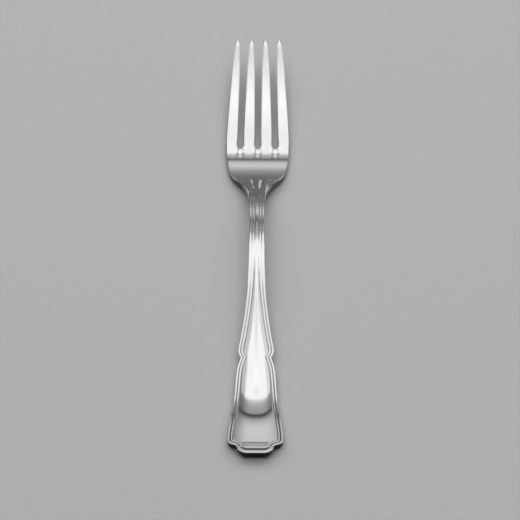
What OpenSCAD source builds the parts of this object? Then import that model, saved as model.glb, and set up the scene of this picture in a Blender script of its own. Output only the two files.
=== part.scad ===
// Child's fork with a threaded, shield-ended handle, struck from one blank of metal.
// Each node is a named region of that blank and meets its neighbours on a flat cross-section.
// A station is a distance along the fork from the end of the handle; the tines point along +Y.

/* [Overall] */
// Length from the end of the handle to the tips of the tines
overall_length = 155; // [148:1:170]

/* [Side view] */
// Height of the underside at the end of the handle
end_lift = 1.1; // [0.6:0.1:1.8]
// Downward lean of the underside there, in degrees
end_lean = 6; // [3:1:9]
// Station of the patch that the handle rests on
rest_station = 18; // [15:0.5:22]
// Bending radius of the underside at that patch
rest_r = 120; // [100:5:150]
// Height of the underside at the top of the arch
arch_height = 5.9; // [4.5:0.1:7.5]
// Bending radius at the top of the arch
arch_r = 105; // [85:5:130]
// Distance from the top of the arch to the patch that the palm rests on
arch_reach = 27; // [24:0.5:30]
// Bending radius of the underside at the palm's patch
belly_r = 58; // [48:1:70]
// Distance from that patch to the bottom of the slots
belly_reach = 5.4; // [4.5:0.1:7]
// Height of the underside at the tips of the tines
tip_lift = 8; // [6:0.1:9.5]
// Upward lean of the tines at their tips, in degrees
tip_lean = 15; // [10:1:20]
// Depth to which the resting patches are worn flat
rest_flat = 0.05; // [0.03:0.01:0.08]

/* [Thickness] */
// Thickness at the end of the handle
end_t = 2.3; // [1.8:0.1:3]
// Thickness of the stem at the top of the arch
stem_t = 3.3; // [2.8:0.1:4]
// Extra thickness where the shaft runs into the stem
stem_fill = 0.28; // [0.1:0.02:0.5]
// Thickness of the palm
palm_t = 2; // [1.6:0.1:2.6]
// Thickness of a tine at its tip
tip_t = 1; // [0.8:0.1:1.4]

/* [Handle outline] */
// Widest part of the handle, across the shield
shield_w = 15.8; // [14.5:0.1:17.5]
// Width across the waist of the shield
waist_w = 12.5; // [11.5:0.1:13.5]
// Station of that waist
waist_station = 20; // [17:0.5:22]
// Width across the pair of notches
notch_w = 8.9; // [8:0.1:9.8]
// Station of the notches
notch_station = 33; // [31:0.5:36]
// Width across the shoulders just past the notches
peak_w = 10.5; // [10:0.1:11.5]
// Distance from the notches to those shoulders
peak_reach = 2.3; // [1.8:0.1:3]
// Width of the stem
stem_w = 4.5; // [4.2:0.1:5.4]
// Station where the taper of the handle has become the stem
stem_station = 69; // [64:0.5:72]
// Width of the stem where the neck begins
neck_w = 4.8; // [4.4:0.1:5.6]

/* [Handle end] */
// Radius of the shield's rounded corners
corner_r = 1.9; // [1.8:0.1:2.4]
// Slope of the shelves beside the tab, in degrees
shelf_tilt = 20; // [16:1:32]
// Radius of the inner corner between a shelf and the tab
step_r = 0.6; // [0.4:0.1:1]
// Width of the tab where it leaves the shelves
tab_w = 10.4; // [9.4:0.1:11]
// Lean of the tab's sides, in degrees
tab_lean = 12; // [5:1:20]
// Radius of the tab's corners
tab_r = 2.9; // [1.8:0.1:3.2]

/* [Threads and crown] */
// Width of the outer thread along the rim
outer_thread_w = 0.85; // [0.7:0.05:0.95]
// Height of the outer thread
outer_thread_h = 0.24; // [0.16:0.02:0.45]
// Width of the inner thread
inner_thread_w = 0.75; // [0.6:0.05:0.8]
// Height of the inner thread
inner_thread_h = 0.2; // [0.12:0.01:0.4]
// Rise of the crowned field on the shield
field_crown = 0.3; // [0.2:0.05:0.6]
// Rise of the crowned field halfway along the shaft
shaft_crown = 0.25; // [0.15:0.01:0.5]
// Rise of the middle reed on the stem
stem_crown = 0.05; // [0.05:0.05:0.4]
// Depth of the crease across the foot of the field
crease_depth = 0.14; // [0.05:0.01:0.2]
// Height of the three reeds that fan out on the neck, over their bed
reed_h = 0.22; // [0.14:0.02:0.36]
// Height of that bed at the noses of the reeds
reed_bed = 0.6; // [0.3:0.05:0.8]
// Length of the neck reeds
reed_length = 9.8; // [8.6:0.2:10.4]
// Distance from the start of the neck to the reeds
reed_start = 3.2; // [2.4:0.2:4]
// Length of the fall at the nose of a reed
reed_nose = 1.6; // [1.2:0.1:2.4]
// Distance of the outer reeds' noses from the middle line
reed_spread = 2.8; // [2.4:0.1:3.2]

/* [Underside] */
// Rise of the rounded underside at the rim of the handle
handle_roll = 0.8; // [0.5:0.1:1]
// Rise of the rounded underside at the sides of the stem
stem_roll = 1.3; // [0.9:0.1:1.6]
// Rise of the rounded underside at the sides of the palm
palm_roll = 0.4; // [0.3:0.1:0.9]
// Width of the band that is rounded
roll_w = 3; // [2.2:0.1:3.5]

/* [Head] */
// Width across the tines at the bottom of the slots
head_w = 19.9; // [18:0.1:21]
// Length of a tine from the bottom of a slot to its tip
tine_length = 41.1; // [36:0.1:44]
// Width of a tine at its root
tine_w = 3.6; // [2.8:0.1:3.8]
// Width of a tine where its point rounds off
point_w = 1.25; // [1:0.05:1.6]
// Length of the rounded point
point_length = 1.6; // [0.8:0.1:2.4]
// Spacing of the tips, middle to middle
tip_pitch = 4.4; // [4:0.1:4.8]
// Length of the round bottom of a slot
slot_round = 1; // [0.8:0.1:2]
// Rounding of the upper edges of a tine
tine_ease = 0.1; // [0.06:0.02:0.35]
// Rounding of the lower edges of a tine
tine_roll = 0.45; // [0.25:0.05:0.6]
// Distance from the bottom of the slots to the palm's lower corners
palm_length = 9.5; // [9:0.1:11]
// Width across the palm's lower corners
palm_w = 17.5; // [16:0.1:18.5]
// Distance from those corners to the neck
shoulder_length = 16; // [14:0.5:18]

/* [Hidden] */
silver = [0.8, 0.8, 0.79];

tine_count = 4;
slot_station = overall_length - tine_length;
palm_station = slot_station - palm_length;
neck_station = palm_station - shoulder_length;
sweep_station = palm_station - shoulder_length / 3;
belly_station = slot_station - belly_reach;
arch_station = belly_station - arch_reach;
field_inset = outer_thread_w + inner_thread_w;
root_pitch = (head_w - tine_w) / (tine_count - 1);
ease_station = slot_station + 4 * slot_round;

// Side view of the underside: station, height, slope and bend at each knot
under_knots = [
    [0, end_lift, -tan(end_lean), 0],
    [rest_station, -rest_flat, 0, 1 / rest_r],
    [arch_station, arch_height, 0, -1 / arch_r],
    [belly_station, -rest_flat, 0, 1 / belly_r],
    [overall_length, tip_lift, tan(tip_lean), 0]
];

// Values that glide from one level to the next: station, level
thickness_knots = [
    [0, end_t],
    [arch_station, stem_t],
    [belly_station, palm_t],
    [overall_length, tip_t]
];
fill_reach = 25;
fill_end = 6;
fill_knots = [
    [stem_station - fill_end - fill_reach, 0],
    [stem_station - fill_end, stem_fill],
    [arch_station, 0]
];
crown_knots = [
    [0, field_crown],
    [notch_station, field_crown],
    [(notch_station + stem_station) / 2, shaft_crown],
    [stem_station, stem_crown],
    [neck_station, stem_crown],
    [palm_station, 0]
];
roll_knots = [
    [0, handle_roll],
    [notch_station, handle_roll],
    [stem_station, stem_roll],
    [neck_station, stem_roll],
    [sweep_station, palm_roll],
    [palm_station, palm_roll],
    [slot_station, palm_roll],
    [ease_station, 0]
];
outer_fade = [[neck_station + shoulder_length / 2, 1], [palm_station, 0]];
inner_fade = [[neck_station, 1], [neck_station + shoulder_length / 2, 0]];
tine_edge_fade = [[slot_station, 0], [ease_station, 1]];

// Even steps from one value to another, counted from the first to the last
function stations(from, to, first, last) = [for (k = [first : last]) from + (to - from) * k / last];

// Number of the knot at or before a station
function knot_before(knots, x) = max([for (k = [0 : len(knots) - 2]) if (k == 0 || x >= knots[k][0]) k]);

// Smooth curve through knots of place, value, slope and bend
function sprung(knots, x) =
    let (a = knots[knot_before(knots, x)], b = knots[knot_before(knots, x) + 1])
    let (h = b[0] - a[0], t = (x - a[0]) / h, up = t * t * t * (10 - 15 * t + 6 * t * t))
    a[1] * (1 - up) + b[1] * up
    + h * a[2] * t * (1 - t * t * (6 - 8 * t + 3 * t * t))
    - h * b[2] * t * t * t * (4 - 7 * t + 3 * t * t)
    + h * h * t * t * (1 - t) * (1 - t) * (a[3] * (1 - t) + b[3] * t) / 2;

// Curve through knots of place, value and slope
function bent(knots, x) =
    let (a = knots[knot_before(knots, x)], b = knots[knot_before(knots, x) + 1])
    let (h = b[0] - a[0], t = (x - a[0]) / h, up = t * t * (3 - 2 * t))
    a[1] * (1 - up) + b[1] * up
    + h * a[2] * t * (1 - t) * (1 - t) - h * b[2] * t * t * (1 - t);

// Level that glides between knots of place and value, and stays level past the last ones
function glide(knots, x) =
    let (a = knots[knot_before(knots, x)], b = knots[knot_before(knots, x) + 1])
    let (t = min(1, max(0, (x - a[0]) / (b[0] - a[0]))))
    a[1] + (b[1] - a[1]) * t * t * t * (10 - 15 * t + 6 * t * t);

function under(s) = sprung(under_knots, s);
function thickness(s) = glide(thickness_knots, s);
function crown(s) = s > palm_station ? 0 : glide(crown_knots, s);
// Level of the grooves beside the threads
function ground(s) = under(s) + thickness(s) + glide(fill_knots, s) - crown(s);
// Underside at a distance in from the rim
roll_power = 2.5;
function roll(s, inset) = under(s) + glide(roll_knots, s) * pow(max(0, 1 - inset / roll_w), roll_power);

// The handle's end: its outline from the middle of the tab to the widest point, as place and inward normal
tab_flat = tab_w / 2 - tab_r * cos(tab_lean);
step_centre = [tab_w / 2 + step_r * cos(tab_lean), tab_r * (1 - sin(tab_lean)) - step_r * sin(tab_lean)];
shelf_from = step_centre + step_r * [-sin(shelf_tilt), cos(shelf_tilt)];
shelf_to_x = shield_w / 2 - corner_r * (1 - sin(shelf_tilt));
shield_station = shelf_from.y + (shelf_to_x - shelf_from.x) * tan(shelf_tilt) + corner_r * cos(shelf_tilt);
corner_centre = [shield_w / 2 - corner_r, shield_station];
function heading(a) = [cos(a), sin(a)];
// Points of an arc with their inward normals: side is -1 on an outside corner and 1 on an inside one
function arc(centre, r, angles, side) = [for (a = angles) concat(centre + r * heading(a), side * heading(a))];
end_path = concat(
    [for (k = [0 : 2]) [tab_flat * k / 3, 0, 0, 1]],
    arc([tab_flat, tab_r], tab_r, stations(-90, -tab_lean, 0, 5), -1),
    arc(step_centre, step_r, stations(180 - tab_lean, 90 + shelf_tilt, 1, 3), 1),
    arc(corner_centre, corner_r, stations(shelf_tilt - 90, 0, 0, 5), -1)
);

// Small bends of the outline: how far along and how far in they lie from the named sizes
flare_reach = 5.4;
flare_drop = 0.44;
lobe_reach = 4.8;
lobe_drop = 0.6;
peak_station = notch_station + peak_reach;
peak_ease = 1.8;
peak_drop = 0.2;

// Outline of the sides: station, half width and slope at each knot, with a sharp notch
rim_knots = [
    [shield_station, shield_w / 2, 0],
    [shield_station + flare_reach, shield_w / 2 - flare_drop, -0.14],
    [waist_station, waist_w / 2, -0.085],
    [notch_station - lobe_reach, waist_w / 2 - lobe_drop, -0.1],
    [notch_station, notch_w / 2, -0.42],
    [notch_station, notch_w / 2, 0.5],
    [peak_station, peak_w / 2, 0],
    [peak_station + peak_ease, peak_w / 2 - peak_drop, -0.185],
    [stem_station, stem_w / 2, 0],
    [neck_station, neck_w / 2, 0.03],
    [sweep_station, (neck_w + palm_w) / 4, 0.72],
    [palm_station, palm_w / 2, 0.22],
    [slot_station, head_w / 2, 0]
];
function rim(s) = bent(rim_knots, s);

// Ridge across a band: 0 at its sides and 1 along its middle
function ridge(u) = max(0, 4 * u * (1 - u));
// Height of the threads at a distance in from the rim
function threads(s, inset) =
    inset < outer_thread_w
        ? outer_thread_h * glide(outer_fade, s) * ridge(inset / outer_thread_w)
        : inner_thread_h * glide(inner_fade, s) * ridge((inset - outer_thread_w) / inner_thread_w);
thread_insets = concat(
    [for (u = [0, 0.3, 0.7]) u * outer_thread_w],
    [for (u = [0, 0.3, 0.7, 1]) outer_thread_w + u * inner_thread_w]
);

// Height of the three neck reeds, which fan out over a raised bed and end in round noses
reed_gap = neck_w / 4;
reed_power = 2.5;
reed_rise = 0.3;
reed_scallop = 0.5;
bed_half = 1.1;
bed_fall = 1.3;
function smooth(t) = glide([[0, 0], [1, 1]], t);
function reeds(s, x) =
    let (t = min(1, max(0, (s - neck_station - reed_start) / reed_length)))
    let (apart = reed_gap + (reed_spread - reed_gap) * t * t, place = abs(x) / apart)
    let (lobe = max(0, 1 - pow(abs(2 * (place - min(1, round(place)))), reed_power)))
    let (bed = reed_bed * t * (1 - smooth((place - bed_half) / bed_fall)))
    let (left = (1 - t) * reed_length - reed_scallop * (1 - lobe))
    (bed + reed_h * smooth(t / reed_rise) * lobe) * smooth(left / reed_nose);

// A slab between two height fields: rows of points, each an x, a station, an upper and a lower height
module slab(rows) {
    n = len(rows);
    m = len(rows[0]);
    upper = [for (row = rows) for (p = row) [p[0], p[1] - overall_length / 2, p[2]]];
    lower = [for (row = rows) for (p = row) [p[0], p[1] - overall_length / 2, p[3]]];
    function up(i, j) = i * m + j;
    function down(i, j) = n * m + i * m + j;
    quads = concat(
        [for (i = [0 : n - 2]) for (j = [0 : m - 2])
            [up(i, j), up(i + 1, j), up(i + 1, j + 1), up(i, j + 1)]],
        [for (i = [0 : n - 2]) for (j = [0 : m - 2])
            [down(i, j), down(i, j + 1), down(i + 1, j + 1), down(i + 1, j)]],
        [for (j = [0 : m - 2]) [up(0, j), up(0, j + 1), down(0, j + 1), down(0, j)]],
        [for (j = [0 : m - 2]) [up(n - 1, j + 1), up(n - 1, j), down(n - 1, j), down(n - 1, j + 1)]],
        [for (i = [0 : n - 2]) [up(i + 1, 0), up(i, 0), down(i, 0), down(i + 1, 0)]],
        [for (i = [0 : n - 2]) [up(i, m - 1), up(i + 1, m - 1), down(i + 1, m - 1), down(i, m - 1)]]
    );
    polyhedron(
        points = concat(upper, lower),
        faces = [for (q = quads) for (half = [[q[0], q[1], q[3]], [q[1], q[2], q[3]]]) half],
        convexity = 8
    );
}

// Cuts a slab flat where the fork rests on the table
module rested() {
    span = 2 * overall_length;
    difference() {
        children();
        translate([-span / 2, -span / 2, -span]) cube(span);
    }
}

// Crowned field: the part of its rise that is left at a share of its half width, flat along the middle
field_power = 2.5;
function swell(share) = 1 - pow(abs(share), field_power);
// Top of the handle, the neck and the palm at a distance in from the rim
function top(s, inset, x) =
    let (half = rim(s) - field_inset)
    ground(s) + (inset < field_inset ? threads(s, inset) : crown(s) * swell(x / half) + reeds(s, x));
function row(s, field_steps) =
    let (half = rim(s), field = half - field_inset)
    let (insets = concat(thread_insets, [for (k = [1 : field_steps]) field_inset + field * k / field_steps]))
    let (n = len(insets) - 1)
    [for (j = [-n : n])
        let (inset = insets[n - abs(j)], x = sign(j) * (half - inset))
        [x, s, top(s, inset, x), roll(s, inset)]];

// Rounded tab and scrolled corners at the end of the handle, up to the widest section.
// Rows go in from the rim, across the threads, and then over the tab's own little field.
field_half = shield_w / 2 - field_inset;
field_rows = 2;
fan_half = 0.8 * field_half;
// Underside of the handle's end, which also rises from the middle of the tab to its sides
function end_roll(s, x) =
    let (rise = handle_roll * pow(min(1, 2 * x / tab_w), roll_power) * (1 - smooth(s / shield_station)))
    max(roll(s, shield_w / 2 - x), under(s) + rise);
function terminal_point(i, j) =
    let (last = len(thread_insets) - 1, inset = thread_insets[min(i, last)])
    let (inward = max(0, i - last) / field_rows)
    let (p = end_path[abs(j)], across = fan_half * abs(j) / (len(end_path) - 1))
    let (rim_place = [p[0], p[1]] + inset * [p[2], p[3]])
    let (place = rim_place + inward * ([across, shield_station] - rim_place))
    let (rise = crown(place.y) * swell(across / field_half) - crease_depth)
    let (relief = inward > 0 ? inward * rise : threads(0, inset))
    [sign(j) * place.x, place.y, ground(place.y) + relief, end_roll(place.y, place.x)];
module handle_terminal() {
    rows = len(thread_insets) + field_rows;
    n = len(end_path) - 1;
    color(silver) slab([for (i = [0 : rows - 1]) [for (j = [-n : n]) terminal_point(i, j)]]);
}

// Flared shield with its crowned field, from the widest section to the notches
module handle_shield() {
    near = stations(shield_station, waist_station, 0, 6);
    far = stations(waist_station, notch_station, 1, 7);
    color(silver) rested() slab([for (s = concat(near, far)) row(s, 5)]);
}

// Shoulders past the notches and the long taper to the stem
module handle_shaft() {
    near = stations(notch_station, peak_station, 0, 3);
    far = stations(peak_station, stem_station, 1, 10);
    color(silver) slab([for (s = concat(near, far)) row(s, 4)]);
}

// Slim reeded stem over the top of the arch
module stem() {
    color(silver) slab([for (s = stations(stem_station, neck_station, 0, 8)) row(s, 3)]);
}

// Neck with its fanned reeds, sweeping out to the palm
module neck() {
    color(silver) slab([for (s = stations(neck_station, palm_station, 0, 20)) row(s, 10)]);
}

// Plain palm up to the bottom of the slots
module palm() {
    color(silver) rested() slab([for (s = stations(palm_station, slot_station, 0, 7)) row(s, 6)]);
}

// One tine, counted from the left, whose root spreads to meet its neighbours around the slots
converge_power = 1.2;
tine_taper = 2.1;
point_stub = 0.17;
function tine_half(s) =
    let (q = (s - slot_station) / tine_length)
    point_w / 2 + (tine_w - point_w) / 2 * (1 - pow(q, tine_taper));
function pitch(s) =
    root_pitch - (root_pitch - tip_pitch) * pow((s - slot_station) / tine_length, converge_power);
function slot_open(s) = sqrt(1 - pow(max(0, 1 - (s - slot_station) / slot_round), 2));
function point_round(s) =
    max(point_stub, sqrt(1 - pow(max(0, 1 - (overall_length - s) / point_length), 2)));
function tine_row(index, s) =
    let (middle = (index - (tine_count - 1) / 2) * pitch(s), half = tine_half(s) * point_round(s))
    let (web = (pitch(s) / 2 - tine_half(s)) * (1 - slot_open(s)))
    let (left = middle - half - (index > 0 ? web : 0))
    let (right = middle + half + (index < tine_count - 1 ? web : 0))
    let (outer = (tine_count - 1) / 2 * pitch(s) + tine_half(s), ease = glide(tine_edge_fade, s))
    let (slim = thickness(s) * (1 - point_round(s)) / 2)
    [for (u = [-1, -0.8, -0.4, 0, 0.4, 0.8, 1])
        let (x = (left + right) / 2 + u * (right - left) / 2, edge = ease * pow(abs(u), 4))
        [x, s, ground(s) - tine_ease * edge - slim,
            roll(s, outer - abs(x)) + tine_roll * edge + slim]];
module tine(index) {
    point_station = overall_length - point_length;
    root = [for (a = stations(0, 90, 0, 3)) slot_station + slot_round * (1 - cos(a))];
    blade = stations(slot_station + slot_round, point_station, 1, 10);
    point = [for (a = stations(0, 90, 1, 4)) point_station + point_length * sin(a)];
    color(silver) slab([for (s = concat(root, blade, point)) tine_row(index, s)]);
}
module tine_left_outer() { tine(0); }
module tine_left_inner() { tine(1); }
module tine_right_inner() { tine(2); }
module tine_right_outer() { tine(3); }

handle_terminal();
handle_shield();
handle_shaft();
stem();
neck();
palm();
tine_left_outer();
tine_left_inner();
tine_right_inner();
tine_right_outer();
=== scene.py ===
"""Child's fork in polished silver on a plain grey table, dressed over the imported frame."""
import math
from functools import partial

import bpy
import numpy as np
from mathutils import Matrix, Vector


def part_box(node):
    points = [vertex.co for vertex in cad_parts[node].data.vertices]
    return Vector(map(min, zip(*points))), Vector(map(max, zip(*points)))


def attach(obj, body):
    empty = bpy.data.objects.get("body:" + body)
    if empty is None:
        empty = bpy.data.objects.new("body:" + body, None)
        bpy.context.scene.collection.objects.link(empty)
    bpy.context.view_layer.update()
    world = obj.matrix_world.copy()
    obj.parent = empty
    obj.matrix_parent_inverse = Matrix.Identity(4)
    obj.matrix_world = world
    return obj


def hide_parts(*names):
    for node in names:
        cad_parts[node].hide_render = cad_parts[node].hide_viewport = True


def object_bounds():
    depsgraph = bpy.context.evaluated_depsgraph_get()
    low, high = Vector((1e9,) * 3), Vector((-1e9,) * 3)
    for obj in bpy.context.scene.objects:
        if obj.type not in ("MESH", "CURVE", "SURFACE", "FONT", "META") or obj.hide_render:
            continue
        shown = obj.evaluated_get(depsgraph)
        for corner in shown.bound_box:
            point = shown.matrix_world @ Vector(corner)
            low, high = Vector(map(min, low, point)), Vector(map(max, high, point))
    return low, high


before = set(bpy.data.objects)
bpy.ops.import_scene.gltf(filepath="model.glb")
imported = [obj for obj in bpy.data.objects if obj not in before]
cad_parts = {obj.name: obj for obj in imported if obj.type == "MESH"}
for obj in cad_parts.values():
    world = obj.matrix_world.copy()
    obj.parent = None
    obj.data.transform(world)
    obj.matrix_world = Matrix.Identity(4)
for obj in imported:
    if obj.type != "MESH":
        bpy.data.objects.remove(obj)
cad_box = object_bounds()
scene = bpy.context.scene
MM = 0.001


# Places and widths from the frame, in millimetres: a station is a distance from the end of the handle
def near_end(node):
    """Station of the end of a node on the handle's side."""
    return (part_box(node)[0].y - cad_box[0].y) / MM


def width(node):
    """Greatest width of a node that is centred on the middle line."""
    return 2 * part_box(node)[1].x / MM


overall_length = (cad_box[1].y - cad_box[0].y) / MM
shield_station = near_end("handle_shield")
notch_station = near_end("handle_shaft")
stem_station = near_end("stem")
neck_station = near_end("neck")
palm_station = near_end("palm")
slot_station = near_end("tine_left_inner")
shield_w = width("handle_shield")
head_w = width("palm")
palm_w = width("neck")

# Side view of the underside, with angles in degrees
end_lift = 1.1
end_lean = 6
rest_station = 18
rest_r = 120
arch_height = 5.9
arch_r = 105
arch_reach = 27
belly_r = 58
belly_reach = 5.4
tip_lift = 8
tip_lean = 15
rest_flat = 0.05

# Thickness, and where the stem is filled out
end_t = 2.3
stem_t = 3.3
palm_t = 2
tip_t = 1
stem_fill = 0.23
fill_start = 38
fill_middle = 63
fill_end = 82

# Outline of the handle
waist_w = 12.5
waist_station = 20
notch_w = 8.9
peak_w = 10.5
peak_reach = 2.3
stem_w = 4.5
neck_w = 4.8
flare_reach = 5.4
flare_drop = 0.44
lobe_reach = 4.8
lobe_drop = 0.6
peak_ease = 1.8
peak_drop = 0.2
flare_slope = -0.14
waist_slope = -0.085
lobe_slope = -0.1
notch_in_slope = -0.42
notch_out_slope = 0.5
peak_slope = -0.185
neck_slope = 0.03
sweep_slope = 0.72
palm_slope = 0.22

# Outline of the handle's end
corner_r = 1.9
shelf_tilt = 20
step_r = 0.6
tab_w = 10.4
tab_lean = 12
tab_r = 2.9

# Threads, crowned field and reeds
outer_thread_w = 0.85
outer_thread_h = 0.24
inner_thread_w = 0.75
inner_thread_h = 0.2
thread_power = 4
taper_thread_share = 0.6
faint_share = 0.06
faint_reach = 7
stem_thread_share = 0.45
stem_thread_reach = 8
neck_thread_share = 0.15
neck_thread_reach = 3
edge_share = 0.02
end_crown = 0.26
field_crown = 0.3
shaft_crown = 0.25
stem_crown = 0.02
neck_crown = 0.08
field_power = 2.5
field_edge = 0.15
field_overlap = 0.3
field_fall = 0.6
crease_station = 3.8
crease_r = 0.25
facet_slope = 0.076
facet_bend = 0.011
reed_start = 4.5
reed_length = 8.5
reed_pitch = 1.2
reed_spread = 3.1
reed_share = 0.13
reed_power = 2
reed_rise = 0.4
reed_bed = 0.6
reed_nose = 1.6
reed_scallop = 0.5
bed_half = 1.1
bed_fall = 1.7
tab_station = 1.6
tab_fade_length = 1.4
tab_widening = 0.42

# Underside, and how far the normals of the walls turn down at the top and at the bottom
handle_roll = 0.8
stem_roll = 1.3
palm_roll = 0.4
roll_w = 3
roll_power = 2.5
wall_turns = (0, 0.5)
dark_turns = (0, 0.1)

# Head
tine_count = 4
tine_w = 3.6
point_w = 1.25
point_length = 1.5
point_power = 0.5
point_drop = 0.22
point_drop_length = 3.2
point_stub = 0.06
tip_pitch = 4.4
converge_power = 1.2
tine_taper = 2.1
slot_round = 0.9
ease_power = 3
tine_ease = 0.1
tine_ease_w = 0.4
tip_ease_w = 0.85
tine_roll = 0.45
tine_roll_power = 4
palm_ease = 0.25
palm_ease_w = 0.6
shoulder_ease = 0.42
shoulder_ease_w = 1.3
root_rise = 0.085
root_reach = 4.4
root_length = 7

# Finish around the bottoms of the slots: a faint lip with a patch on it, between two hair lines
lip_outer_r = 2.6
lip_inner_r = 1.1
lip_h = 0.03
lip_fade = 6
patch_start = 3.1
patch_end = 2.3
patch_h = 0.01
patch_w = 0.72
hair_line_depth = 0.06
hair_line_w = 0.22
hair_line_length = 3.8

# Grime in the grooves, and painted shade in the colour of the walls
groove_w = 0.2
tab_groove_gain = 0.6
second_share = 0.4
end_grime = 2.4
corner_grime = 1.5
waist_grime = 0.6
stem_grime = 0.1
# Painted shade on the walls: darkness put in their colour, most on the handle's end and the shoulders
end_wall_painted_shade = 2.5
plain_wall_painted_shade = 0.2
shoulder_wall_painted_shade = 2.3

# Derived places
shoulder_length = palm_station - neck_station
tine_length = overall_length - slot_station
belly_station = slot_station - belly_reach
arch_station = belly_station - arch_reach
peak_station = notch_station + peak_reach
past_peak_station = peak_station + peak_ease
taper_station = (notch_station + stem_station) / 2
sweep_station = palm_station - shoulder_length / 3
ease_station = slot_station + 4 * slot_round
field_inset = outer_thread_w + inner_thread_w
root_pitch = (head_w - tine_w) / (tine_count - 1)

# Knots of the side view: station, height, slope and bend
under_knots = [
    (0, end_lift, -math.tan(math.radians(end_lean)), 0),
    (rest_station, -rest_flat, 0, 1 / rest_r),
    (arch_station, arch_height, 0, -1 / arch_r),
    (belly_station, -rest_flat, 0, 1 / belly_r),
    (overall_length, tip_lift, math.tan(math.radians(tip_lean)), 0),
]
# Knots of the outline: station, half width and slope
rim_knots = [
    (shield_station, shield_w / 2, 0),
    (shield_station + flare_reach, shield_w / 2 - flare_drop, flare_slope),
    (waist_station, waist_w / 2, waist_slope),
    (notch_station - lobe_reach, waist_w / 2 - lobe_drop, lobe_slope),
    (notch_station, notch_w / 2, notch_in_slope),
    (notch_station, notch_w / 2, notch_out_slope),
    (peak_station, peak_w / 2, 0),
    (past_peak_station, peak_w / 2 - peak_drop, peak_slope),
    (stem_station, stem_w / 2, 0),
    (neck_station, neck_w / 2, neck_slope),
    (sweep_station, (neck_w + palm_w) / 4, sweep_slope),
    (palm_station, palm_w / 2, palm_slope),
    (slot_station, head_w / 2, 0),
]
# Knots of values that glide from one level to the next: station and level
thickness_knots = [(0, end_t), (arch_station, stem_t), (belly_station, palm_t), (overall_length, tip_t)]
crown_knots = [
    (shield_station, end_crown),
    (waist_station, field_crown),
    (past_peak_station, field_crown),
    (taper_station, shaft_crown),
    (stem_station, stem_crown),
    (neck_station, neck_crown),
    (palm_station, 0),
]
roll_knots = [
    (notch_station, handle_roll),
    (stem_station, stem_roll),
    (neck_station, stem_roll),
    (sweep_station, palm_roll),
    (palm_station, palm_roll),
    (slot_station, palm_roll),
    (ease_station, 0),
]
thread_knots = [
    (past_peak_station, 1),
    (taper_station, taper_thread_share),
    (stem_station - faint_reach, faint_share),
    (stem_station, faint_share),
    (stem_station + stem_thread_reach, stem_thread_share),
    (neck_station - neck_thread_reach, stem_thread_share),
    (neck_station + neck_thread_reach, neck_thread_share),
]
edge_knots = [(taper_station, 1), (stem_station, edge_share)]
thread_fade = [(neck_station, 1), (neck_station + shoulder_length / 2, 0)]
tine_edge_fade = [(slot_station, 0), (ease_station, 1)]
grime_knots = [
    (0, end_grime),
    (shield_station, corner_grime),
    (waist_station, waist_grime),
    (stem_station, stem_grime),
]
# Painted shade along the walls: station and level of darkness painted into the walls' colour
wall_painted_shade_knots = [
    (shield_station, end_wall_painted_shade),
    (waist_station, plain_wall_painted_shade),
    (neck_station, plain_wall_painted_shade),
    (sweep_station, shoulder_wall_painted_shade),
    (slot_station, 0),
]
ease_knots = [(neck_station, palm_ease), (sweep_station, shoulder_ease), (palm_station, palm_ease)]
ease_w_knots = [
    (neck_station, palm_ease_w),
    (sweep_station, shoulder_ease_w),
    (palm_station, palm_ease_w),
]
fill_knots = [(fill_start, 0), (fill_middle, stem_fill), (fill_end, 0)]
# The field's crown follows the outline without its notches
field_knots = [knot for knot in rim_knots if not notch_station <= knot[0] <= peak_station]


# Curves through knots
def segment(places, s):
    """Number of the knot at or before each station."""
    return np.clip(np.searchsorted(places, s, side="right") - 1, 0, len(places) - 2)


def step_up(t):
    """Smooth step from 0 to 1 with level ends."""
    t = np.clip(t, 0, 1)
    return t ** 3 * (10 - 15 * t + 6 * t * t)


def glide(knots, s):
    """Level that glides from each knot to the next."""
    places, levels = np.array(knots, float).T
    i = segment(places, s)
    t = (s - places[i]) / (places[i + 1] - places[i])
    return levels[i] + (levels[i + 1] - levels[i]) * step_up(t)


def bent(knots, s):
    """Curve through knots with slopes."""
    places, values, slopes = np.array(knots, float).T
    i = segment(places, s)
    h = places[i + 1] - places[i]
    t = (s - places[i]) / h
    up = t * t * (3 - 2 * t)
    pull = slopes[i] * t * (1 - t) ** 2 - slopes[i + 1] * t * t * (1 - t)
    return values[i] * (1 - up) + values[i + 1] * up + h * pull


def sprung(knots, s):
    """Curve through knots with slopes and bends."""
    places, values, slopes, bends = np.array(knots, float).T
    i = segment(places, s)
    h = places[i + 1] - places[i]
    t = (s - places[i]) / h
    up = step_up(t)
    first = t * (1 - t * t * (6 - 8 * t + 3 * t * t))
    last = t ** 3 * (4 - 7 * t + 3 * t * t)
    pull = slopes[i] * first - slopes[i + 1] * last
    bow = (t * (1 - t)) ** 2 * (bends[i] * (1 - t) + bends[i + 1] * t) / 2
    return values[i] * (1 - up) + values[i + 1] * up + h * pull + h * h * bow


# Heights along the fork
def under(s):
    """Underside along the middle, before it is worn flat."""
    return sprung(under_knots, s)


def thickness(s):
    """Thickness along the middle."""
    return glide(thickness_knots, s)


def crown(s):
    """Rise of the field's middle over the grooves."""
    return glide(crown_knots, s)


def ground(s):
    """Level of the grooves beside the threads."""
    root = root_rise * step_up((s - slot_station + root_reach) / root_length)
    return under(s) + thickness(s) - crown(s) + glide(fill_knots, s) + root


def rim(s):
    """Half width of the outline, which stays at its widest before the shield."""
    return bent(rim_knots, np.maximum(s, shield_station))


def rolled(s, inset):
    """Underside at a distance in from the rim, worn flat where it rests."""
    lift = glide(roll_knots, s) * np.maximum(0, 1 - inset / roll_w) ** roll_power
    return np.maximum(under(s) + lift, 0)


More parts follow.
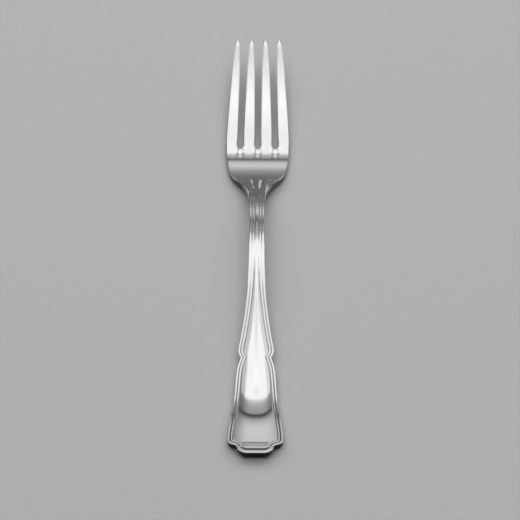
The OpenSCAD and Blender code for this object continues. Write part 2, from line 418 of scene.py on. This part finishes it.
# Outline of the handle's end: a tab, an inner corner, a shelf and a rounded outer corner on each side
lean = math.radians(tab_lean)
tilt = math.radians(shelf_tilt)
tab_flat = tab_w / 2 - tab_r * math.cos(lean)
tab_centre = np.array([tab_flat, tab_r])
step_centre = np.array([
    tab_w / 2 + step_r * math.cos(lean),
    tab_r * (1 - math.sin(lean)) - step_r * math.sin(lean),
])
corner_centre = np.array([shield_w / 2 - corner_r, shield_station])
shelf_inward = np.array([-math.sin(tilt), math.cos(tilt)])
shelf_from = step_centre + step_r * shelf_inward
shelf_to = corner_centre - corner_r * shelf_inward


def end_inset(s, x):
    """Distance in from the outline of the handle's end."""
    p = np.stack([np.abs(x), s], -1)
    shelf = shelf_to - shelf_from
    along = np.clip(((p - shelf_from) @ shelf) / (shelf @ shelf), 0, 1)
    off_shelf = np.linalg.norm(p - shelf_from - along[..., None] * shelf, axis=-1)
    choices = [
        np.hypot(np.maximum(0, p[..., 0] - tab_flat), p[..., 1]) * np.sign(p[..., 1]),
        off_shelf * np.sign((p - shelf_from) @ shelf_inward),
    ]
    arcs = [
        (tab_centre, tab_r, -math.pi / 2, -lean, 1),
        (step_centre, step_r, math.pi / 2 + tilt, math.pi - lean, -1),
        (corner_centre, corner_r, tilt - math.pi / 2, 0, 1),
    ]
    for centre, r, low, high, side in arcs:
        off = p - centre
        angle = np.arctan2(off[..., 1], off[..., 0])
        gap = side * (r - np.linalg.norm(off, axis=-1))
        choices.append(np.where((angle >= low) & (angle <= high), gap, np.inf))
    choices = np.stack(choices)
    nearest = np.argmin(np.abs(choices), axis=0)
    return np.take_along_axis(choices, nearest[None], 0)[0]


def inset_at(s, x):
    """Distance in from the rim of the handle, neck or palm."""
    return np.where(s < shield_station, end_inset(s, x), rim(s) - np.abs(x))


def ridge(u, power):
    """Ridge across a band: 0 at its sides, 1 along its middle, with a flatter top for a higher power."""
    return 1 - np.abs(2 * u - 1) ** power


def merged(s):
    """Share of the inner thread that is lost in the tab."""
    return 1 - step_up((s - tab_station) / tab_fade_length)


def thread_inset(s, inset):
    """Distance in from the rim as the threads count it: they are wider on the tab."""
    return inset * (1 - tab_widening * merged(s))


def threads(s, inset):
    """Two threads along the rim, of which the inner one is lost in the tab."""
    outer = outer_thread_h * ridge(inset / outer_thread_w, thread_power)
    inner = inner_thread_h * ridge((inset - outer_thread_w) / inner_thread_w, thread_power)
    height = np.where(inset < outer_thread_w, outer, inner * (1 - merged(s)))
    return glide(thread_knots, s) * glide(thread_fade, s) * np.maximum(0, height)


def reeds(s, x):
    """Three reeds that fan out on the neck and end in round noses."""
    t = np.clip((s - neck_station - reed_start) / reed_length, 0, 1)
    apart = reed_pitch + (reed_spread - reed_pitch) * t
    place = np.abs(x) / apart
    lobe = np.maximum(0, 1 - np.abs(2 * (place - np.clip(np.round(place), 0, 1))) ** reed_power)
    bed = reed_bed * t * (1 - step_up((place - bed_half) / bed_fall))
    left = (1 - t) * reed_length - reed_scallop * (1 - lobe)
    return (bed + reed_share * apart * step_up(t / reed_rise) * lobe) * step_up(left / reed_nose)


def slot_finish(s, x):
    """Faint lip, patch and hair lines around the bottoms of the slots."""
    before = slot_station - s
    lip_left = 1 - step_up(-before / lip_fade)
    marks_left = 1 - step_up(-before / slot_round)
    patch = patch_h * step_up((patch_start - before) / (patch_start - patch_end))
    cut = hair_line_depth * np.clip(1 - before / hair_line_length, 0, 1)
    total = np.zeros_like(s)
    for k in range(1 - tine_count // 2, tine_count // 2):
        off = np.abs(x - k * root_pitch)
        line = (off - pitch(s) / 2 + tine_half(s)) / hair_line_w
        r = np.hypot(off, np.maximum(0, before + slot_round))
        lip = lip_h * step_up((lip_outer_r - r) / (lip_outer_r - lip_inner_r))
        marks = patch * np.exp(-(off / patch_w) ** 2 / 2) - cut * np.exp(-line ** 2 / 2)
        total = total + lip * lip_left + marks * marks_left
    return total


def body_top(s, x):
    """Top of the handle, the stem, the neck and the palm."""
    inset = thread_inset(s, inset_at(s, x))
    start = field_inset - inner_thread_w * merged(s)
    half = bent(field_knots, np.maximum(s, shield_station)) - start
    swell = crown(s) * (1 - np.minimum(1, np.abs(x / half)) ** field_power)
    edge = field_edge * glide(edge_knots, s) * glide(thread_fade, s)
    past = (crease_station - s + np.hypot(crease_station - s, crease_r)) / 2
    facet = past * (facet_slope + facet_bend / 2 * past)
    fall = step_up((inset - start + field_overlap) / field_fall)
    field = (swell + edge - facet) * fall + reeds(s, x)
    plain = 1 - glide(thread_fade, s)
    near_rim = np.maximum(0, 1 - inset / glide(ease_w_knots, s))
    eased = glide(ease_knots, s) * plain * near_rim ** ease_power
    return ground(s) + np.maximum(threads(s, inset), field) - eased + slot_finish(s, x)


def body_bottom(s, x):
    """Underside from the handle to the palm, which also rises beside the middle of the tab."""
    share = np.minimum(1, 2 * np.abs(x) / tab_w) ** roll_power
    rise = handle_roll * share * (1 - step_up(s / shield_station))
    return np.maximum(rolled(s, rim(s) - np.abs(x)), under(s) + rise)


# Tines, counted from the left
def tine_half(s):
    """Half width of a tine, before its point is rounded."""
    q = np.maximum(0, (s - slot_station) / tine_length)
    return point_w / 2 + (tine_w - point_w) / 2 * (1 - q ** tine_taper)


def pitch(s):
    """Distance from a tine to the next."""
    q = np.maximum(0, (s - slot_station) / tine_length)
    return root_pitch - (root_pitch - tip_pitch) * q ** converge_power


def rounded(t):
    """Quarter round that goes from 0 at t = 0 to 1 at t = 1."""
    return np.sqrt(np.clip(1 - np.clip(1 - t, 0, 1) ** 2, 0, 1))


def point_round(s):
    """Share of the width that is left along the point."""
    left = np.clip(1 - (overall_length - s) / point_length, 0, 1)
    return np.maximum(point_stub, (1 - left ** 2) ** point_power)


def tine_sides(index, s):
    """Left and right side of a tine, which spreads at its root to meet its neighbours."""
    middle = (index - (tine_count - 1) / 2) * pitch(s)
    half = tine_half(s) * point_round(s)
    web = (pitch(s) / 2 - tine_half(s)) * (1 - rounded((s - slot_station) / slot_round))
    left = middle - half - (web if index > 0 else 0)
    right = middle + half + (web if index < tine_count - 1 else 0)
    return left, right


def tine_top(index, s, x):
    """Top of a tine, eased along its edges, with a point that drops."""
    left, right = tine_sides(index, s)
    past_slot = glide(tine_edge_fade, s)
    inner = tine_ease * past_slot
    outer = palm_ease + (tine_ease - palm_ease) * past_slot
    slim_w = tine_ease_w + (tip_ease_w - tine_ease_w) * np.clip((s - slot_station) / tine_length, 0, 1)
    band = palm_ease_w + (slim_w - palm_ease_w) * past_slot
    band = np.minimum(band, (right - left) / 2)
    left_ease = (inner if index > 0 else outer) * np.maximum(0, 1 - (x - left) / band) ** ease_power
    right_ease = outer if index == tine_count - 1 else inner
    right_ease = right_ease * np.maximum(0, 1 - (right - x) / band) ** ease_power
    drop = point_drop * np.clip(1 - (overall_length - s) / point_drop_length, 0, 1) ** 2
    return ground(s) - left_ease - right_ease - drop + slot_finish(s, x)


def tine_bottom(index, s, x):
    """Underside of a tine, turned up along its edges and thinner at its point."""
    left, right = tine_sides(index, s)
    u = (2 * x - left - right) / (right - left)
    outer = (tine_count - 1) / 2 * pitch(s) + tine_half(s)
    edge = tine_roll * glide(tine_edge_fade, s) * np.abs(u) ** tine_roll_power
    slim = thickness(s) * (1 - point_round(s)) / 2
    return rolled(s, outer - np.abs(x)) + edge + slim


def grime(s, inset):
    """Grime that stays in the grooves inside the two threads."""
    inset = thread_inset(s, inset)
    first_w = groove_w * (1 + tab_groove_gain * merged(s))
    first = np.exp(-((inset - outer_thread_w) / first_w) ** 2)
    second = second_share * (1 - merged(s)) * np.exp(-((inset - field_inset) / groove_w) ** 2)
    return glide(grime_knots, s) * glide(thread_fade, s) * np.maximum(first, second)


# Pieces: closed slabs between two height fields, with normals that run on from piece to piece.
# Slopes are measured over a step to each side, and no slab is thinner than its least thickness
slope_step = 0.01
least_t = 0.01


def unit(v):
    """Vectors at a length of 1."""
    return v / np.linalg.norm(v, axis=-1, keepdims=True)


def field_normals(height, s, x, side):
    """Normals of a height field, looking up for side 1 and down for side -1."""
    h = slope_step
    dx = (height(s, x + h) - height(s, x - h)) / (2 * h)
    ds = (height(s + h, x) - height(s - h, x)) / (2 * h)
    return unit(side * np.stack([-dx, -ds, np.ones_like(dx)], -1))


def side_normals(edge, s, side):
    """Level normals of a side whose place across the fork is edge(s)."""
    h = slope_step
    slope = (edge(s + h) - edge(s - h)) / (2 * h)
    return unit(side * np.stack([np.ones_like(s), -slope, np.zeros_like(s)], -1))


def slab(name, s, x, top, bottom, walls, patina, turns=wall_turns):
    """Makes a piece from a grid of stations and places across, two heights and its walls' normals."""
    n, m = s.shape
    upper = np.stack([x, s - overall_length / 2, top(s, x)], -1)
    lower = np.stack([x, s - overall_length / 2, bottom(s, x)], -1)
    lower[..., 2] = np.minimum(lower[..., 2], upper[..., 2] - least_t)
    up = np.arange(n * m).reshape(n, m)
    down = up + n * m
    quads, normals, grime_and_shade_values = [], [], []

    def sheet(corners, corner_normals, corner_grime_and_shade):
        """Adds the faces of one side, with a normal and a level of grime and painted shade at each
        corner.
        """
        quads.append(np.stack([c.ravel() for c in corners], -1))
        normals.append(np.stack([c.reshape(-1, 3) for c in corner_normals], 1))
        grime_and_shade_values.append(np.stack([c.ravel() for c in corner_grime_and_shade], -1))

    def patches(grid):
        """Values of a grid at the four corners of each of its faces."""
        return [grid[:-1, :-1], grid[:-1, 1:], grid[1:, 1:], grid[1:, :-1]]

    sheet(patches(up), patches(field_normals(top, s, x, 1)), patches(patina))
    sheet(patches(down)[::-1], patches(field_normals(bottom, s, x, -1))[::-1], patches(0 * patina))
    edges = [
        (up[0], down[0]),
        (up[-1, ::-1], down[-1, ::-1]),
        (up[::-1, 0], down[::-1, 0]),
        (up[:, -1], down[:, -1]),
    ]
    for (high, low), level in zip(edges, walls):
        edge_high, edge_low = [unit(level - np.array([0, 0, turn])) for turn in turns]
        # The walls get painted shade in their colour, darkest on the handle's end and the shoulders
        edge_painted_shade = glide(wall_painted_shade_knots, s.ravel()[high])
        sheet([low[:-1], low[1:], high[1:], high[:-1]],
              [edge_low[:-1], edge_low[1:], edge_high[1:], edge_high[:-1]],
              [edge_painted_shade[:-1], edge_painted_shade[1:], edge_painted_shade[1:], edge_painted_shade[:-1]])

    mesh = bpy.data.meshes.new(name)
    points = np.concatenate([upper.reshape(-1, 3), lower.reshape(-1, 3)]) * MM
    mesh.from_pydata(points.tolist(), [], np.concatenate(quads).tolist())
    mesh.shade_smooth()
    mesh.normals_split_custom_set(np.concatenate(normals).reshape(-1, 3).tolist())
    # The grime attribute holds tarnish in the grooves on the top and painted shade on the walls
    grime_and_shade = mesh.attributes.new("grime", "FLOAT", "CORNER")
    grime_and_shade.data.foreach_set("value", np.concatenate(grime_and_shade_values).ravel().astype(np.float32))
    piece = bpy.data.objects.new("silver_" + name, mesh)
    scene.collection.objects.link(piece)
    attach(piece, "root")
    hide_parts(name)
    return piece


def facing(count, y):
    """Normals of a flat wall across the fork."""
    return np.tile(np.array([0.0, y, 0.0]), (count, 1))


def band_steps(count):
    """Steps across a thread, closer at its sides."""
    return (1 - np.cos(np.pi * np.arange(count) / count)) / 2


outer_steps = 14
inner_steps = 12
thread_insets = np.concatenate([
    outer_thread_w * band_steps(outer_steps),
    outer_thread_w + inner_thread_w * band_steps(inner_steps),
    [field_inset],
])


def body_piece(name, stations, field_steps, turns=wall_turns):
    """A stretch of the handle, stem, neck or palm, in rows across the fork."""
    field = np.arange(1, field_steps + 1) / field_steps
    half = rim(stations)[:, None]
    insets = np.concatenate([
        np.repeat(thread_insets[None], len(stations), 0),
        field_inset + (half - field_inset) * field,
    ], axis=1)
    right = half - insets
    x = np.concatenate([-right, right[:, -2::-1]], axis=1)
    s = np.repeat(stations[:, None], x.shape[1], 1)
    walls = [
        facing(x.shape[1], -1),
        facing(x.shape[1], 1),
        side_normals(lambda t: -rim(t), stations, -1),
        side_normals(rim, stations, 1),
    ]
    return slab(name, s, x, body_top, body_bottom, walls, grime(s, inset_at(s, x)), turns)


def rows(start, end, spacing):
    """Stations from start to end, no further apart than the spacing."""
    return np.linspace(start, end, 1 + math.ceil((end - start) / spacing))


def end_path(spacing):
    """Right half of the outline of the handle's end, as places and inward normals."""
    flat = rows(0, tab_flat, spacing)[:-1]
    path = [np.stack([flat, 0 * flat, 0 * flat, 1 + 0 * flat], -1)]
    arcs = [
        (tab_centre, tab_r, -math.pi / 2, -lean, -1),
        (step_centre, step_r, math.pi - lean, math.pi / 2 + tilt, 1),
        (corner_centre, corner_r, tilt - math.pi / 2, 0, -1),
    ]
    for centre, r, first, last, side in arcs:
        count = 1 + math.ceil(abs(last - first) * max(r, 2 * step_r) / spacing)
        angles = np.linspace(first, last, count)[(0 if side < 0 else 1):]
        heading = np.stack([np.cos(angles), np.sin(angles)], -1)
        path.append(np.concatenate([centre + r * heading, side * heading], axis=1))
        if side > 0:
            count = 1 + math.ceil(np.linalg.norm(shelf_to - shelf_from) / spacing)
            shelf = np.linspace(shelf_from, shelf_to, count)[1:-1]
            inward = np.repeat(shelf_inward[None], len(shelf), 0)
            path.append(np.concatenate([shelf, inward], axis=1))
    return np.concatenate(path)


def handle_terminal():
    """Tab, shelves and corners: rows go in from the rim, over the threads and the end of the field."""
    field_rows = 14
    last_row_share = 0.8
    half = end_path(spacing=0.16)
    last_row_half = last_row_share * (shield_w / 2 - field_inset)
    across = last_row_half * np.arange(len(half)) / (len(half) - 1)
    places = [half[:, :2] + inset * half[:, 2:] for inset in thread_insets]
    goal = np.stack([across, np.full_like(across, shield_station)], -1)
    for k in range(1, field_rows + 1):
        places.append(places[len(thread_insets) - 1] * (1 - k / field_rows) + goal * k / field_rows)
    right = np.stack(places)
    left = right[:, :0:-1] * np.array([-1, 1])
    grid = np.concatenate([left, right], axis=1)
    outward = -np.concatenate([half[:0:-1, 2:] * np.array([-1, 1]), half[:, 2:]])
    start = np.concatenate([outward, np.zeros((len(outward), 1))], axis=1)
    n, m = grid.shape[:2]
    s, x = grid[..., 1], grid[..., 0]
    walls = [start, facing(m, 1), facing(n, 1), facing(n, 1)]
    patina = grime(s, inset_at(s, x))
    return slab("handle_terminal", s, x, body_top, body_bottom, walls, patina, dark_turns)


def tine(name, index):
    """A tine, in rows across it that lie closer at its root and its point."""
    columns = 31
    root_rows = 14
    point_rows = 16
    point_station = overall_length - point_length
    root = slot_station + slot_round * (1 - np.cos(np.linspace(0, math.pi / 2, root_rows)))
    blade = rows(slot_station + slot_round, point_station, spacing=0.5)[1:]
    point = point_station + point_length * np.sin(np.linspace(0, math.pi / 2, point_rows))[1:]
    stations = np.concatenate([root, blade, point])
    left, right = tine_sides(index, stations)
    u = np.sin(math.pi / 2 * np.linspace(-1, 1, columns))
    x = ((left + right) / 2)[:, None] + ((right - left) / 2)[:, None] * u
    s = np.repeat(stations[:, None], columns, 1)
    walls = [
        facing(columns, -1),
        facing(columns, 1),
        side_normals(lambda t: tine_sides(index, t)[0], stations, -1),
        side_normals(lambda t: tine_sides(index, t)[1], stations, 1),
    ]
    top = partial(tine_top, index)
    bottom = partial(tine_bottom, index)
    return slab(name, s, x, top, bottom, walls, np.zeros_like(s))


shaft_rows = np.concatenate([
    rows(notch_station, past_peak_station, spacing=0.15),
    rows(past_peak_station, stem_station, spacing=0.45)[1:],
])
silver_pieces = [
    handle_terminal(),
    body_piece("handle_shield", rows(shield_station, notch_station, spacing=0.3), field_steps=24),
    body_piece("handle_shaft", shaft_rows, field_steps=20),
    body_piece("stem", rows(stem_station, neck_station, spacing=0.4), field_steps=16),
    body_piece("neck", rows(neck_station, palm_station, spacing=0.2), field_steps=60, turns=dark_turns),
    body_piece("palm", rows(palm_station, slot_station, spacing=0.15), field_steps=90),
]
tine_names = ["tine_left_outer", "tine_left_inner", "tine_right_inner", "tine_right_outer"]
silver_pieces += [tine(name, index) for index, name in enumerate(tine_names)]


# Materials
def add(tree, kind, inputs=(), **settings):
    """Adds a node, sets it up and sets or links its inputs, which go by number or name."""
    node = tree.nodes.new(kind)
    for key, value in settings.items():
        setattr(node, key, value)
    for key, value in dict(inputs).items():
        if isinstance(value, bpy.types.NodeSocket):
            tree.links.new(value, node.inputs[key])
        else:
            node.inputs[key].default_value = value
    return node


def calc(tree, operation, *values):
    """Result of one operation on numbers or sockets."""
    return add(tree, "ShaderNodeMath", enumerate(values), operation=operation).outputs[0]


def fade(tree, value, low, high):
    """Smooth step from 0 at low to 1 at high."""
    inputs = {"Value": value, "From Min": low, "From Max": high}
    return add(tree, "ShaderNodeMapRange", inputs, interpolation_type="SMOOTHSTEP").outputs[0]


def blend(tree, factor, a, b):
    """Mixes two colours."""
    node = add(tree, "ShaderNodeMix", data_type="RGBA")
    for socket, value in zip([node.inputs[0], node.inputs[6], node.inputs[7]], [factor, a, b]):
        if isinstance(value, bpy.types.NodeSocket):
            tree.links.new(value, socket)
        else:
            socket.default_value = value
    return node.outputs[2]


def mix(tree, factor, a, b):
    """Value that goes from a to b as the factor goes from 0 to 1."""
    return calc(tree, "MULTIPLY_ADD", factor, calc(tree, "SUBTRACT", b, a), a)


def new_material(name):
    """Material, its node tree and its shader."""
    material = bpy.data.materials.new(name)
    material.use_nodes = True
    return material, material.node_tree, material.node_tree.nodes["Principled BSDF"]


def polished_silver():
    """Bright silver with a soft bloom, fine handling scratches, grime in the grooves and painted shade
    on the walls.
    """
    bright = (0.93, 0.925, 0.905, 1)
    dull = (0.9, 0.895, 0.875, 1)
    # Near black, used both for tarnish in the grooves and for painted shade on the walls
    tarnish_and_shade_dark = (0.01, 0.0098, 0.009, 1)
    tarnish_and_shade_share = 0.4
    cloud_scale = 140.0
    bloom_range = (0.35, 0.75)
    material, tree, shader = new_material("polished_silver")
    place = add(tree, "ShaderNodeTexCoord").outputs["Object"]
    cloud_inputs = {"Vector": place, "Scale": cloud_scale, "Detail": 3.0}
    cloud = add(tree, "ShaderNodeTexNoise", cloud_inputs).outputs[0]
    # Tarnish in the grooves and painted shade on the walls, read from the grime attribute
    grime_and_shade = add(tree, "ShaderNodeAttribute", attribute_name="grime").outputs["Fac"]
    bloom = blend(tree, fade(tree, cloud, *bloom_range), bright, dull)
    grimy_and_shaded = blend(tree, calc(tree, "MULTIPLY", grime_and_shade, tarnish_and_shade_share), bloom, tarnish_and_shade_dark)
    tree.links.new(grimy_and_shaded, shader.inputs["Base Color"])
    shader.inputs["Metallic"].default_value = 1.0

    # Scratches run at three turns, each with a scale of its own
    scratch_range = (0.62, 0.72)
    stretch = (1, 0.03, 1)
    scratches = 0.0
    for turn, scale in ((0.12, 900.0), (-0.3, 1300.0), (1.35, 1100.0)):
        turned_inputs = {"Vector": place, "Rotation": (0, 0, turn), "Scale": stretch}
        turned = add(tree, "ShaderNodeMapping", turned_inputs).outputs[0]
        noise_inputs = {"Vector": turned, "Scale": scale, "Detail": 2.0}
        noise = add(tree, "ShaderNodeTexNoise", noise_inputs).outputs[0]
        scratches = calc(tree, "MAXIMUM", fade(tree, noise, *scratch_range), scratches)
    bump_inputs = {"Height": scratches, "Strength": 0.05, "Distance": 0.00001}
    bump = add(tree, "ShaderNodeBump", bump_inputs, invert=True)
    tree.links.new(bump.outputs[0], shader.inputs["Normal"])

    # Roughness: the polish, and what the bloom, the wear past the shield, scratches and the grime
    # attribute (grime and painted shade) add to it
    polish = 0.015
    cloud_wear = 0.03
    handling_wear = 0.035
    handling_range = (-0.045, -0.02)
    scratch_wear = 0.03
    grime_wear = 0.03
    along = add(tree, "ShaderNodeSeparateXYZ", {0: place}).outputs[1]
    worn = calc(tree, "MULTIPLY_ADD", cloud, cloud_wear, polish)
    worn = calc(tree, "MULTIPLY_ADD", fade(tree, along, *handling_range), handling_wear, worn)
    worn = calc(tree, "MULTIPLY_ADD", scratches, scratch_wear, worn)
    worn = calc(tree, "MULTIPLY_ADD", grime_and_shade, grime_wear, worn)
    tree.links.new(worn, shader.inputs["Roughness"])
    return material


def table_grey():
    """Matt grey board with a faint tooth."""
    low = (0.425, 0.425, 0.424, 1)
    high = (0.445, 0.445, 0.444, 1)
    material, tree, shader = new_material("table_grey")
    place = add(tree, "ShaderNodeTexCoord").outputs["Object"]
    tooth_inputs = {"Vector": place, "Scale": 400.0, "Detail": 4.0}
    tooth = add(tree, "ShaderNodeTexNoise", tooth_inputs).outputs[0]
    tree.links.new(blend(tree, tooth, low, high), shader.inputs["Base Color"])
    shader.inputs["Roughness"].default_value = 0.9
    shader.inputs["Specular IOR Level"].default_value = 0.1
    return material


silver = polished_silver()
for piece in silver_pieces:
    piece.data.materials.append(silver)


# Table
floor_half = 4.0
floor_drop = 0.00002
floor_mesh = bpy.data.meshes.new("table")
floor_mesh.from_pydata([
    (-floor_half, -floor_half, -floor_drop),
    (floor_half, -floor_half, -floor_drop),
    (floor_half, floor_half, -floor_drop),
    (-floor_half, floor_half, -floor_drop),
], [], [(0, 1, 2, 3)])
floor_mesh.materials.append(table_grey())
floor = bpy.data.objects.new("table", floor_mesh)
scene.collection.objects.link(floor)


# Light: a grey studio that darkens towards the horizon, with a white softbox and its dark front edge.
# Levels go by the angle in the side view, in degrees up from the horizon behind the tines
middle_levels = [
    (0, 0.13), (10, 0.14), (23, 0.19), (35, 0.33), (43, 0.56), (46.5, 0.62), (47.8, 0.6), (49, 0.52),
    (49.6, 0.44), (50.2, 0.31), (50.7, 0.16), (51, 0.03), (51.35, 0.03), (51.7, 0.3), (53, 0.35),
    (54, 0.38), (55.4, 0.5), (56, 0.6), (56.6, 0.86), (57.1, 1.0), (57.6, 0.97), (58.8, 0.89),
    (60.5, 0.97), (62.5, 1.06), (65.3, 1.04), (67.7, 0.95), (69.8, 0.86), (73.5, 0.8), (112, 0.72),
    (125, 0.25), (180, 0.08),
]
left_levels = [
    (0, 0.12), (23, 0.16), (35, 0.26), (46, 0.3), (49.5, 0.2), (51, 0.04), (51.7, 0.14), (56, 0.2),
    (57.5, 0.5), (62, 0.58), (75, 0.6), (112, 0.5), (125, 0.2), (180, 0.08),
]
right_levels = [
    (0, 0.13), (23, 0.17), (35, 0.26), (46, 0.45), (49.5, 0.33), (51, 0.05), (51.7, 0.16), (56, 0.24),
    (57.5, 0.74), (75, 0.7), (112, 0.6), (125, 0.2), (180, 0.08),
]
warm_below = 0.4
warm_share = 0.1
diffuse_share = 0.12
backdrop_tone = (0.43, 0.43, 0.43, 1)

# Fades between the middle and the sides: from and to, in degrees as above or as x over z
least_z = 0.3
box_front = (55.5, 57)
soft_left_side = (-0.04, -0.25)
soft_right_side = (0.05, 0.3)
box_left_side = (-0.15, -0.23)
box_right_side = (0.16, 0.25)

# White panels on both sides of a grey strip along the middle of the softbox
panel_tone = (1, 1, 1, 1)
panel_front = (56.6, 57.6)
panel_back = (73, 70.8)
panel_side = (0.017, 0.036)

# Pale card low behind the tines on the right: from and to, as x over y or as z
least_y = 0.01
card_tone = (0.52, 0.52, 0.51, 1)
card_left = (0.14, 0.22)
card_right = (0.66, 0.56)
card_top = (0.22, 0.16)


def sky_ramp(tree, half_turns, levels):
    """Ramp over the half turn from the horizon behind the tines to the one behind the camera."""
    node = add(tree, "ShaderNodeValToRGB", {0: half_turns})
    elements = node.color_ramp.elements
    while len(elements) > 1:
        elements.remove(elements[-1])
    for number, (degrees, level) in enumerate(levels):
        element = elements.new(degrees / 180) if number else elements[0]
        element.position = degrees / 180
        warm = warm_share * max(0, warm_below - level)
        element.color = (level, level, level * (1 - warm), 1)
    return node.outputs[0]


def studio():
    """World that the metal mirrors, with a plain grey for the camera and less light for the table."""
    world = bpy.data.worlds.new("studio")
    scene.world = world
    world.use_nodes = True
    tree = world.node_tree
    tree.nodes.clear()
    direction = add(tree, "ShaderNodeTexCoord").outputs["Generated"]
    x, y, z = add(tree, "ShaderNodeSeparateXYZ", {0: direction}).outputs
    half_turns = calc(tree, "DIVIDE", calc(tree, "ARCTAN2", z, y), math.pi)
    degrees = calc(tree, "MULTIPLY", half_turns, 180.0)
    side = calc(tree, "DIVIDE", x, calc(tree, "MAXIMUM", z, least_z))

    panels = fade(tree, calc(tree, "ABSOLUTE", side), *panel_side)
    panels = calc(tree, "MULTIPLY", panels, fade(tree, degrees, *panel_front))
    panels = calc(tree, "MULTIPLY", panels, fade(tree, degrees, *panel_back))
    middle = blend(tree, panels, sky_ramp(tree, half_turns, middle_levels), panel_tone)

    in_box = fade(tree, degrees, *box_front)
    to_left = mix(tree, in_box, fade(tree, side, *soft_left_side), fade(tree, side, *box_left_side))
    to_right = mix(tree, in_box, fade(tree, side, *soft_right_side), fade(tree, side, *box_right_side))
    tone = blend(tree, to_left, middle, sky_ramp(tree, half_turns, left_levels))
    tone = blend(tree, to_right, tone, sky_ramp(tree, half_turns, right_levels))

    turn = calc(tree, "DIVIDE", x, calc(tree, "MAXIMUM", y, least_y))
    card = calc(tree, "MULTIPLY", fade(tree, turn, *card_left), fade(tree, turn, *card_right))
    card = calc(tree, "MULTIPLY", card, fade(tree, z, *card_top))
    tone = blend(tree, card, tone, card_tone)

    path = add(tree, "ShaderNodeLightPath").outputs
    level = calc(tree, "MULTIPLY_ADD", path["Is Diffuse Ray"], diffuse_share - 1, 1.0)
    light = add(tree, "ShaderNodeBackground", {"Color": tone, "Strength": level}).outputs[0]
    backdrop = add(tree, "ShaderNodeBackground", {"Color": backdrop_tone}).outputs[0]
    shown = add(tree, "ShaderNodeMixShader", {0: path["Is Camera Ray"], 1: light, 2: backdrop})
    add(tree, "ShaderNodeOutputWorld", {"Surface": shown.outputs[0]})


def soft_lamp(name, place, facing_away, size, energy):
    """Soft light on the table, which the metal doesn't mirror."""
    lamp = bpy.data.lights.new(name, "AREA")
    lamp.shape = "RECTANGLE"
    lamp.size, lamp.size_y = size
    lamp.energy = energy
    holder = bpy.data.objects.new(name, lamp)
    holder.location = place
    holder.rotation_mode = "QUATERNION"
    holder.rotation_quaternion = Vector(facing_away).to_track_quat("Z", "Y")
    holder.visible_glossy = False
    scene.collection.objects.link(holder)


studio()
back_place = (0, 1.03, 1.23)
soft_lamp("back", back_place, facing_away=back_place, size=(3.4, 0.9), energy=23.5)
soft_lamp("above", (0, -0.1, 1.5), facing_away=(0, 0, 1), size=(1.6, 1.6), energy=15.5)


# Camera: it looks down at the fork from the end of the handle
view_depression = math.radians(51)
view_turn = math.radians(0.315)
view_distance = 0.653
view_target = Vector((0.000965, -0.0092, 0.004))
sensor = 36.0
photo_focal_px = 2200
photo_px = 520
camera_data = bpy.data.cameras.new("camera")
camera_data.sensor_width = sensor
camera_data.lens = photo_focal_px / photo_px * sensor
camera = bpy.data.objects.new("camera", camera_data)
forward = Vector((
    -math.sin(view_turn) * math.cos(view_depression),
    math.cos(view_turn) * math.cos(view_depression),
    -math.sin(view_depression),
))
camera.location = view_target - forward * view_distance
camera.rotation_mode = "QUATERNION"
camera.rotation_quaternion = forward.to_track_quat("-Z", "Y")
scene.collection.objects.link(camera)
scene.camera = camera
scene.view_settings.view_transform = "Standard"

bpy.context.view_layer.update()
